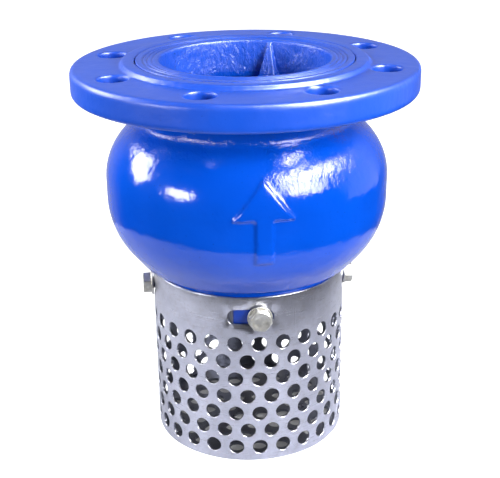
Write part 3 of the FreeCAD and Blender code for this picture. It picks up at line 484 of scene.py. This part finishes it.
SHEET = 1.8 * MM
STRAINER_TURN = math.radians(-5.2)
HOLE = 5 * MM
FIRST_ROW, ROW_PITCH, ROWS = 10 * MM, 12.6 * MM, 7
COLUMN_PITCH, COLUMN_PHASE = math.radians(14), math.radians(4.8)
COLUMNS_LEFT, COLUMNS_RIGHT = 11, 12
SLOT_HALF, SLOT_END = 5 * MM, 15 * MM
SLOT_STRAIGHT = SLOT_END - SLOT_HALF

# The flat sheet leaves room for the edges round its openings and rims.

EDGE = 0.45 * MM
SHEET_RIGHT = SEAM * SHELL_RADIUS
SHEET_LEFT = SHEET_RIGHT - math.tau * SHELL_RADIUS
SHEET_LOW, SHEET_HIGH = EDGE, SHELL_HEIGHT - EDGE

# Density of the sheet's mesh.

HOLE_STEPS, SLOT_STEPS, RIM_STEPS, SEAM_STEPS = 28, 40, 200, 40
SPACING = 3.6 * MM
ROW_SPACING = 0.87 * SPACING
CLEAR_OF_HOLE, CLEAR_OF_SLOT = 1.6 * MM, 2 * MM
SAME_POINT = 1e-7

# Sections of the edges, as steps of (distance, depth under the outer face). The distance is from an
# opening's edge back into the sheet, or from the end of the flat mesh out towards a rim's edge.

BURR = [
    (0.14 * MM, 0.05 * MM),
    (0, 0.3 * MM),
    (0, SHEET - 0.1 * MM),
    (0.1 * MM, SHEET + 0.07 * MM),
]
ROUNDED = [
    (0.33 * MM, 0.12 * MM),
    (EDGE, 0.4 * MM),
    (EDGE, SHEET - 0.4 * MM),
    (0.33 * MM, SHEET - 0.12 * MM),
]

# Dents as (depth, bumps per metre), the weld bead, and how far the outer face lies inside the CAD
# model's, so that the dents stay within it.

DENTS = [(0.16 * MM, 35), (0.05 * MM, 140)]
BEAD_HEIGHT, BEAD_WIDTH, BEAD_RIPPLES = 0.45 * MM, 1.6 * MM, 700
INSET = 0.2 * MM


def hole_places():
    """Centres of the holes. Each second row starts half a pitch back and has one more."""
    for row in range(ROWS):
        between = row % 2
        for column in range(-COLUMNS_LEFT, COLUMNS_RIGHT + between + 1):
            angle = STRAINER_TURN + COLUMN_PHASE + (column - between / 2) * COLUMN_PITCH
            yield Vector((angle * SHELL_RADIUS, FIRST_ROW + row * ROW_PITCH))


def slot_places():
    """Centres of the four slots, a quarter turn apart."""
    for quarter in range(-1, 3):
        yield Vector(((STRAINER_TURN + quarter * math.pi / 2) * SHELL_RADIUS, BOLT_LEVEL))


HOLES = list(hole_places())
SLOTS = list(slot_places())


def opening_outline(centre, straight, radius, steps):
    """A round hole, or a slot where straight is above zero, with the outward direction at each point."""
    points = []
    for step in range(steps):
        angle = math.tau * (step + 0.5) / steps
        out = Vector((math.cos(angle), math.sin(angle)))
        side = math.copysign(straight, out.x)
        points.append((centre + Vector((side, 0)) + out * radius, out))
    return points


def rim_line(level):
    """Points along one rim of the flat sheet."""
    width = SHEET_RIGHT - SHEET_LEFT
    return [Vector((SHEET_LEFT + width * step / RIM_STEPS, level)) for step in range(RIM_STEPS + 1)]


def seam_line(side):
    """Points up one side of the flat sheet, between its rims."""
    height = SHEET_HIGH - SHEET_LOW
    return [Vector((side, SHEET_LOW + height * step / SEAM_STEPS)) for step in range(1, SEAM_STEPS)]


def is_plain(point):
    """True for a point of the flat sheet that is a little way from every opening."""
    if any((point - hole).length < HOLE + CLEAR_OF_HOLE for hole in HOLES):
        return False
    along, across = SLOT_END + CLEAR_OF_SLOT, SLOT_HALF + CLEAR_OF_SLOT
    return all(abs(point.x - slot.x) > along or abs(point.y - slot.y) > across for slot in SLOTS)


def plain_points():
    """Points in staggered rows over the plain parts of the flat sheet."""
    points = []
    level, row = SHEET_LOW + SPACING, 0
    while level < SHEET_HIGH - SPACING / 2:
        along = SHEET_LEFT + SPACING * (1 + row % 2 / 2)
        while along < SHEET_RIGHT - SPACING / 2:
            points.append(Vector((along, level)))
            along += SPACING
        level += ROW_SPACING
        row += 1
    return [point for point in points if is_plain(point)]


def in_opening(point):
    """True for a point inside a hole or a slot."""
    if any((point - hole).length < HOLE + 0.9 * EDGE for hole in HOLES):
        return True
    for slot in SLOTS:
        nearest = slot + Vector((min(max(point.x - slot.x, -SLOT_STRAIGHT), SLOT_STRAIGHT), 0))
        if (point - nearest).length < SLOT_HALF + 0.9 * EDGE:
            return True
    return False


def flat_sheet(outlines):
    """The flat sheet's points and triangles, and the point numbers of its openings and rims."""
    skin = Skin()
    rings = [skin.loop([point + out * EDGE for point, out in outline]) for outline in outlines]
    low, high = skin.loop(rim_line(SHEET_LOW)), skin.loop(rim_line(SHEET_HIGH))
    left = [low[0], *skin.loop(seam_line(SHEET_LEFT)), high[0]]
    right = [low[-1], *skin.loop(seam_line(SHEET_RIGHT)), high[-1]]
    skin.loop(plain_points())
    edges = [edge for ring in rings for edge in zip(ring, ring[1:] + ring[:1])]
    edges += [edge for line in (low, high, left, right) for edge in zip(line, line[1:])]
    points, _, triangles, origins, _, _ = delaunay_2d_cdt(skin.verts, edges, [], 0, SAME_POINT)
    placed = {origin: index for index, found in enumerate(origins) for origin in found}
    middles = [sum((points[i] for i in triangle), Vector((0, 0))) / 3 for triangle in triangles]
    solid = [triangle for triangle, middle in zip(triangles, middles) if not in_opening(middle)]
    rings = [[placed[i] for i in ring] for ring in rings]
    rims = [[placed[i] for i in rim] for rim in (low, high)]
    return points, solid, rings, rims


def bend(point, depth):
    """A place on the flat sheet, that deep under its outer face, bent round and slightly dented."""
    angle = point.x / SHELL_RADIUS
    out, rise = Vector((math.sin(angle), -math.cos(angle), 0)), Vector((0, 0, point.y))
    place = out * SHELL_RADIUS + rise
    dent = sum(height * noise.noise(place * scale) for height, scale in DENTS)
    from_seam = min(abs(point.x - SHEET_LEFT), abs(SHEET_RIGHT - point.x)) / BEAD_WIDTH
    bead = BEAD_HEIGHT * math.exp(-from_seam ** 2) * (1 + 0.4 * noise.noise(place * BEAD_RIPPLES))
    if depth > SHEET / 2:
        bead = -bead
    return out * (SHELL_RADIUS - INSET + dent + bead - depth) + rise


def skin_edge(skin, outer, inner, line, section, closed):
    """Joins the outer face to the inner one along a line of (point, direction), through a section."""
    previous = outer
    for distance, depth in section:
        current = skin.loop([bend(point + out * distance, depth) for point, out in line])
        skin.join(previous, current, closed)
        previous = current
    skin.join(previous, inner, closed)


def perforated_sheet():
    """Vertices and faces of the rolled sheet, with its holes, slots, rims and seam."""
    outlines = [opening_outline(hole, 0, HOLE, HOLE_STEPS) for hole in HOLES]
    outlines += [opening_outline(slot, SLOT_STRAIGHT, SLOT_HALF, SLOT_STEPS) for slot in SLOTS]
    points, triangles, rings, rims = flat_sheet(outlines)
    skin = Skin()
    outer = skin.loop([bend(point, 0) for point in points])
    inner = skin.loop([bend(point, SHEET) for point in points])
    skin.faces += [tuple(outer[i] for i in triangle) for triangle in triangles]
    skin.faces += [tuple(inner[i] for i in reversed(triangle)) for triangle in triangles]
    for ring, line in zip(rings, outlines):
        skin_edge(skin, ring, [inner[i] for i in ring], line, BURR, closed=True)
    for rim, direction in zip(rims, (-1, 1)):
        line = [(points[i], Vector((0, direction))) for i in rim]
        skin_edge(skin, rim, [inner[i] for i in rim], line, ROUNDED, closed=False)
    return skin.verts, skin.faces


shell = piece_from("strainer_sheet", *perforated_sheet())
weld(shell.data)
smooth(shell)
flat_faces = shell.modifiers.new("flat_faces", "WEIGHTED_NORMAL")
flat_faces.keep_sharp = True
dress(shell, "body", "strainer_sheet", "strainer_shell")


# Strainer bolts and washers. HEX is half the width across the flats, CORNER, SHANK and RIM are
# radii, and each bolt was tightened to its own turn, in degrees.

HEAD = BOLT_HIGH.x - WASHER_FACE
HEX = 6.5 * MM
CORNER = 1.135 * HEX
CHAMFER, CHAMFER_SLOPE = 0.93 * HEX, math.tan(math.radians(30))
SHANK, SHANK_LENGTH = 4 * MM, 14 * MM
THREAD, THREAD_DEPTH, THREAD_START, THREAD_STEPS = 1.25 * MM, 0.6 * MM, 4 * MM, 8
RIM, THICKNESS, ROLL = 8 * MM, WASHER_FACE - SHELL_RADIUS, 0.35 * MM
FIRST_TURN, MORE_TURN = 20, 13
BOLT_STEPS = 96


def level_loop(radius, height):
    """A round loop of (radius, height over the washer)."""
    return [(radius, height) for _ in range(BOLT_STEPS)]


def hex_radius(angle):
    """Radius of a hexagon with slightly rounded corners."""
    across = (angle + math.pi / 6) % (math.pi / 3) - math.pi / 6
    return min(HEX / math.cos(across), CORNER)


def thread_loop(height):
    """A loop through the thread, which deepens from the head down."""
    depth = THREAD_DEPTH * min(1, -height / THREAD_START)
    phases = [(height / THREAD + step / BOLT_STEPS) % 1 for step in range(BOLT_STEPS)]
    return [(SHANK - depth * abs(2 * phase - 1), height) for phase in phases]


def bolt_loops(turn):
    """Loops round a hexagon bolt, from its top to the end of its thread."""
    sides = [hex_radius(math.tau * step / BOLT_STEPS - turn) for step in range(BOLT_STEPS)]
    head = [
        level_loop(0.4 * HEX, HEAD - 0.25 * MM),
        level_loop(0.62 * HEX, HEAD - 0.2 * MM),
        level_loop(0.7 * HEX, HEAD),
        level_loop(CHAMFER, HEAD),
        [(radius, HEAD - (radius - CHAMFER) * CHAMFER_SLOPE) for radius in sides],
        [(radius, 0.3 * MM) for radius in sides],
        [(radius - 0.3 * MM, 0) for radius in sides],
        level_loop(SHANK, 0),
    ]
    steps = int(SHANK_LENGTH / THREAD * THREAD_STEPS)
    thread = [thread_loop(-step * THREAD / THREAD_STEPS) for step in range(1, steps)]
    return head + thread + [level_loop(0.78 * SHANK, -SHANK_LENGTH)]


def washer_loops():
    """Loops round a flat washer with rolled edges."""
    bore = 1.05 * SHANK
    section = [
        (bore, -ROLL),
        (bore + ROLL, 0),
        (RIM - 2 * ROLL, 0),
        (RIM - ROLL, -0.05 * MM),
        (RIM - 0.2 * ROLL, -0.6 * ROLL),
        (RIM, -1.6 * ROLL),
        (RIM, ROLL - THICKNESS),
        (RIM - ROLL, -THICKNESS),
        (bore + ROLL, -THICKNESS),
        (bore, ROLL - THICKNESS),
    ]
    return [level_loop(radius, height) for radius, height in section]


def loop_places(loop, azimuth):
    """Places of a loop's (radius, height) steps round the bolt at that azimuth."""
    out, side = towards(azimuth, 0), towards(azimuth + 90, 0)
    places = []
    for step, (radius, height) in enumerate(loop):
        angle = math.tau * step / BOLT_STEPS
        across = side * math.cos(angle) + Vector((0, 0, math.sin(angle)))
        places.append(Vector((0, 0, BOLT_LEVEL)) + out * (WASHER_FACE + height) + across * radius)
    return places


def fasteners(name, loops_at, capped, crease):
    """Four copies round the strainer, each skinned through its loops, as one piece."""
    skin = Skin()
    for quarter in range(4):
        turn = math.radians(FIRST_TURN + MORE_TURN * quarter)
        rings = [skin.loop(loop_places(loop, 90 * quarter)) for loop in loops_at(turn)]
        after = rings[1:] if capped else rings[1:] + rings[:1]
        for one, two in zip(rings, after):
            skin.join(two, one)
        if capped:
            skin.faces += [tuple(rings[0]), tuple(reversed(rings[-1]))]
    piece = piece_from(name, skin.verts, skin.faces)
    weld(piece.data)
    smooth(piece, crease)
    return piece


bolts = fasteners("strainer_hex_bolts", bolt_loops, capped=True, crease=28)
dress(bolts, "body", "zinc_plated", "strainer_bolts")
washers = fasteners("strainer_flat_washers", lambda turn: washer_loops(), capped=False, crease=50)
dress(washers, "body", "zinc_plated", "strainer_washers")


# The other pieces are the CAD meshes, each with its own finish.

for node in frame["nodes"].values():
    slot = node.data.materials[0].name
    if slot in FINISHES and not node.hide_render:
        node.material_slots[0].material = FINISHES[slot]


# Stage: lights, surroundings, floor and camera.

LIGHT_TARGET = Vector((0, 0, SHELL_HEIGHT * 1.6))
LIGHT_RANGE = 1.1


def softbox(name, azimuth, elevation, wide, high, radiance, tint=(1, 1, 1), turn=0):
    """A rectangular light that faces the globe's shoulder. All its angles are in degrees."""
    light = bpy.data.lights.new(name, "AREA")
    light.shape = "RECTANGLE"
    light.size = 2 * LIGHT_RANGE * math.tan(math.radians(wide / 2))
    light.size_y = 2 * LIGHT_RANGE * math.tan(math.radians(high / 2))
    light.energy = radiance * math.pi * light.size * light.size_y
    light.color = tint
    lamp = bpy.data.objects.new(name, light)
    lamp.location = LIGHT_TARGET + towards(azimuth, elevation) * LIGHT_RANGE
    facing = (LIGHT_TARGET - lamp.location).to_track_quat("-Z", "Y")
    lamp.rotation_mode = "QUATERNION"
    lamp.rotation_quaternion = facing @ Matrix.Rotation(math.radians(turn), 4, "Z").to_quaternion()
    bpy.context.scene.collection.objects.link(lamp)
    return lamp


softbox("tall_left", azimuth=-113, elevation=27, wide=20, high=46, radiance=19, turn=46)
softbox("low_left", azimuth=-59, elevation=10, wide=22, high=11, radiance=24)
softbox("core_right", azimuth=40, elevation=24, wide=27, high=26, radiance=30)
sheen = softbox("high_right", azimuth=60, elevation=52, wide=38, high=36, radiance=52)
sheen.visible_diffuse = False  # It only makes highlights. As plain light it would bleach the blue.
softbox("right_panel", azimuth=98, elevation=12, wide=48, high=52, radiance=1, tint=(0.9, 0.93, 1.0))


# Brightness of the surroundings: as the camera sees them, as light on matt surfaces, and in
# reflections, from the dim room in front to the bright backdrop behind.

SEEN_WHITE = 1.3
SOFT_LIGHT = 0.32
MIRRORED_FRONT, MIRRORED_BACK = 0.02, 0.66


def world():
    """White surroundings, with other brightnesses for matt surfaces and for reflections."""
    sky = bpy.data.worlds.new("studio")
    bpy.context.scene.world = sky
    sky.use_nodes = True
    nodes, links = sky.node_tree.nodes, sky.node_tree.links
    nodes.clear()

    def background(strength=1.0):
        node = nodes.new("ShaderNodeBackground")
        node.inputs["Strength"].default_value = strength
        return node

    def choose(ray_kind, others, chosen):
        """The last shader for rays of that kind, and the first one for all other rays."""
        node = nodes.new("ShaderNodeMixShader")
        outputs = (ray.outputs[ray_kind], others.outputs[0], chosen.outputs[0])
        for output, socket in zip(outputs, node.inputs):
            links.new(output, socket)
        return node

    ray = nodes.new("ShaderNodeLightPath")
    split = nodes.new("ShaderNodeSeparateXYZ")
    links.new(nodes.new("ShaderNodeTexCoord").outputs["Generated"], split.inputs[0])
    backward = nodes.new("ShaderNodeMapRange")
    backward.interpolation_type = "SMOOTHSTEP"
    for socket, value in zip(
        ("From Min", "From Max", "To Min", "To Max"), (0.5, 1.0, MIRRORED_FRONT, MIRRORED_BACK)
    ):
        backward.inputs[socket].default_value = value
    links.new(split.outputs["Y"], backward.inputs["Value"])
    mirrored = background()
    links.new(backward.outputs["Result"], mirrored.inputs["Strength"])
    unseen = choose("Is Glossy Ray", background(SOFT_LIGHT), mirrored)
    surface = choose("Is Camera Ray", unseen, background(SEEN_WHITE))
    links.new(surface.outputs[0], nodes.new("ShaderNodeOutputWorld").inputs[0])


world()


def slab(name, corners, level):
    """A flat sheet of the stage at that level."""
    sheet = piece_from(name, [(x, y, level) for x, y in corners], [tuple(range(len(corners)))])
    return sheet


def pale(name, light, dark, glow):
    """A plain pale surface, matt and without gloss, that glows a little by itself."""
    m = Material(name, Roughness=0.8, Specular_IOR_Level=0.0, Emission_Strength=glow)
    m.drive("Base Color", m.blend(m.ramp(m.noise(3, 3), 0.3, 0.7), light, dark))
    m.shader.inputs["Emission Color"].default_value = (1, 1, 1, 1)
    return m


FLOOR_CORNERS = [(-4, -4), (4, -4), (4, 6), (-4, 6)]
TABLE_CENTRE, TABLE_RADIUS, TABLE_STEPS = Vector((-0.03, 0.05)), 0.315, 90


def floor():
    """The floor that the camera sees. It glows, except inside the strainer, where the missing glow is a
    painted shadow.
    """
    sheet = slab("floor", FLOOR_CORNERS, -0.2 * MM)
    m = pale("pale_floor", rgb(190, 190, 192), rgb(186, 186, 188), 0.0)
    under = m.near((0, 0, 0), SHELL_RADIUS - 7 * MM, SHELL_RADIUS - 2 * MM)
    # Under the strainer the glow fades out, leaving a painted shadow.
    m.drive("Emission Strength", m.ramp(under, 1, 0, 0.02, 0.95))
    sheet.data.materials.append(m.data)
    sheet.visible_diffuse = False
    sheet.visible_glossy = False


def turntable():
    """The round white table that the coat and the steel mirror. The camera doesn't see it."""
    angles = [math.tau * step / TABLE_STEPS for step in range(TABLE_STEPS)]
    rim = [TABLE_CENTRE + Vector((math.cos(angle), math.sin(angle))) * TABLE_RADIUS for angle in angles]
    sheet = slab("turntable", rim, -0.1 * MM)
    m = pale("white_turntable", rgb(176, 178, 186), rgb(168, 170, 178), 0.06)
    sheet.data.materials.append(m.data)
    sheet.visible_camera = False
    sheet.visible_shadow = False


floor()
turntable()


# The camera, solved from the circles of the object in the photograph: where it stands, in degrees
# from the front and metres from the axis, and how it is turned, in radians.

LENS = 76.44
CAMERA_AZIMUTH, CAMERA_RANGE, CAMERA_HEIGHT = -6.2, 0.6629, 0.3957
CAMERA_DOWN, CAMERA_YAW, CAMERA_ROLL = math.radians(21.7), 0.0024, -0.0135


def camera():
    """The camera, above and a little to the left of the front, with a long lens."""
    data = bpy.data.cameras.new("camera")
    data.lens = LENS
    data.clip_start = 0.01
    eye = bpy.data.objects.new("camera", data)
    stand = towards(CAMERA_AZIMUTH, 0) * CAMERA_RANGE + Vector((0, 0, CAMERA_HEIGHT))
    heading = Matrix.Rotation(math.radians(CAMERA_AZIMUTH) - CAMERA_YAW, 4, "Z")
    tilt = Matrix.Rotation(math.pi / 2 - CAMERA_DOWN, 4, "X")
    eye.matrix_world = Matrix.Translation(stand) @ heading @ tilt @ Matrix.Rotation(CAMERA_ROLL, 4, "Z")
    bpy.context.scene.collection.objects.link(eye)
    bpy.context.scene.camera = eye


camera()
scene = bpy.context.scene
scene.view_settings.view_transform = "Standard"
